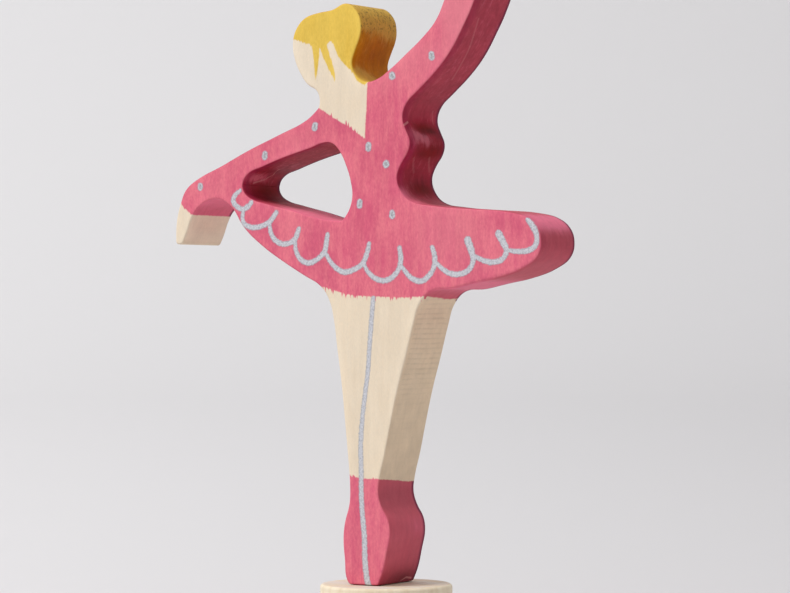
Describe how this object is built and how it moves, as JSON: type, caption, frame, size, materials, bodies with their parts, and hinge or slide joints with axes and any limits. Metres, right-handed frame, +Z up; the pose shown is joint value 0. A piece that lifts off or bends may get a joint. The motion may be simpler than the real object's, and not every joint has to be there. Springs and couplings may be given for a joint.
{
  "type": "ballerina figurine",
  "caption": "Flat sawn wooden dancer with one arm raised, stained and painted, standing on a small round turned disc.",
  "frame": {"origin": "centre of the round base's underside", "axes": "+Z up, the figure's painted front towards -Y, its raised arm on the +X side"},
  "size_m": [0.0606, 0.0188, 0.1035],
  "materials": {
    "stained_wood": "matt stain over a straight vertical grain, pink with bare skin parts, yellow hair and silver trim",
    "bare_wood": "oiled pale limewood, fine grain"
  },
  "bodies": {
    "root": {"ballerina_figure": "stained_wood", "round_base": "bare_wood"}
  },
  "joints": []
}
